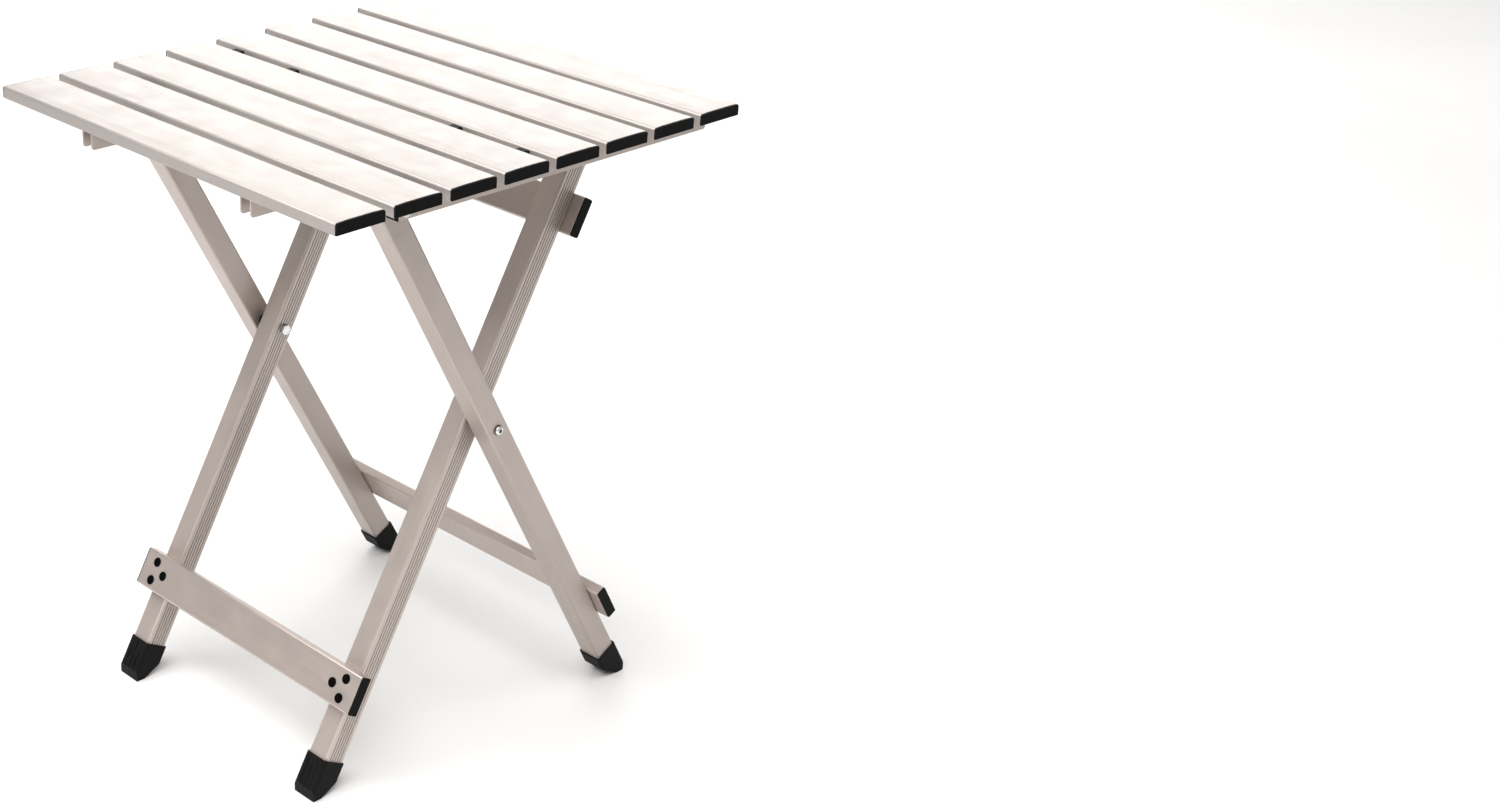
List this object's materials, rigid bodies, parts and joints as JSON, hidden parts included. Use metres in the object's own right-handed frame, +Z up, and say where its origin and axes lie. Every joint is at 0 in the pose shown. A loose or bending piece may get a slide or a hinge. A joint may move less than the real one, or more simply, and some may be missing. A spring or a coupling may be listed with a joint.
{
  "type": "folding side table",
  "caption": "Folding side table with a slatted aluminium top in two sliding leaves on crossed tube legs with plastic feet.",
  "frame": {"origin": "on the floor under the centre of the table top", "axes": "+Z up, +X along the slats, +Y from the front edge to the rear edge"},
  "size_m": [0.489, 0.51, 0.636],
  "materials": {
    "slat_aluminium": "satin anodised, very pale",
    "frame_aluminium": "satin champagne anodised, brushed along its length",
    "black_plastic": "fine moulded grain",
    "bright_steel": "zinc plated",
    "dark_rivets": "black oxide"
  },
  "bodies": {
    "inner_frame": {"inner_leg_left": "frame_aluminium", "inner_leg_right": "frame_aluminium", "inner_foot_left": "black_plastic", "inner_foot_right": "black_plastic", "inner_leg_plugs": "black_plastic", "front_lower_crossbar": "frame_aluminium", "front_lower_crossbar_caps": "black_plastic", "front_lower_crossbar_rivets": "dark_rivets", "front_lower_crossbar_hole_plugs": "black_plastic", "upper_crossbar": "frame_aluminium", "upper_crossbar_caps": "black_plastic", "upper_crossbar_rivets": "dark_rivets", "upper_crossbar_hole_plugs": "black_plastic"},
    "outer_frame": {"outer_leg_left": "frame_aluminium", "outer_leg_right": "frame_aluminium", "outer_foot_left": "black_plastic", "outer_foot_right": "black_plastic", "outer_leg_plugs": "black_plastic", "rear_lower_crossbar": "frame_aluminium", "rear_lower_crossbar_caps": "black_plastic", "rear_lower_crossbar_rivets": "dark_rivets", "rear_lower_crossbar_hole_plugs": "black_plastic", "middle_pivot_bolts": "bright_steel", "middle_pivot_washers": "bright_steel", "middle_pivot_bushes": "black_plastic", "middle_pivot_nuts": "bright_steel"},
    "front_leaf": {"slat_1": "slat_aluminium", "slat_1_caps": "black_plastic", "slat_2": "slat_aluminium", "slat_2_caps": "black_plastic", "slat_3": "slat_aluminium", "slat_3_caps": "black_plastic", "slat_4": "slat_aluminium", "slat_4_caps": "black_plastic", "inner_rail_left": "frame_aluminium", "inner_rail_right": "frame_aluminium", "inner_rail_end_caps": "black_plastic", "front_slat_rivets": "dark_rivets", "front_leaf_spacers": "black_plastic", "inner_top_pivots": "bright_steel", "inner_top_bushes": "black_plastic"},
    "rear_leaf": {"slat_5": "slat_aluminium", "slat_5_caps": "black_plastic", "slat_6": "slat_aluminium", "slat_6_caps": "black_plastic", "slat_7": "slat_aluminium", "slat_7_caps": "black_plastic", "slat_8": "slat_aluminium", "slat_8_caps": "black_plastic", "outer_rail_left": "frame_aluminium", "outer_rail_right": "frame_aluminium", "outer_rail_end_caps": "black_plastic", "rear_slat_rivets": "dark_rivets", "rear_leaf_spacers": "black_plastic", "outer_top_pivots": "bright_steel", "outer_top_bushes": "black_plastic"}
  },
  "joints": [
    {"name": "leg_fold", "type": "hinge", "parent": "inner_frame", "child": "outer_frame", "pos_m": [0, 0, 0.3485], "axis": [-1, 0, 0], "range_deg": [0, 58]},
    {"name": "front_leaf_pivot", "type": "hinge", "parent": "inner_frame", "child": "front_leaf", "pos_m": [0, 0.1465, 0.611], "axis": [-1, 0, 0], "range_deg": [0, 29]},
    {"name": "rear_leaf_pivot", "type": "hinge", "parent": "outer_frame", "child": "rear_leaf", "pos_m": [0, -0.1465, 0.611], "axis": [1, 0, 0], "range_deg": [0, 29]}
  ],
  "couplings": [
    {"joint": "front_leaf_pivot", "follows": "leg_fold", "ratio": 0.5},
    {"joint": "rear_leaf_pivot", "follows": "leg_fold", "ratio": 0.5}
  ]
}
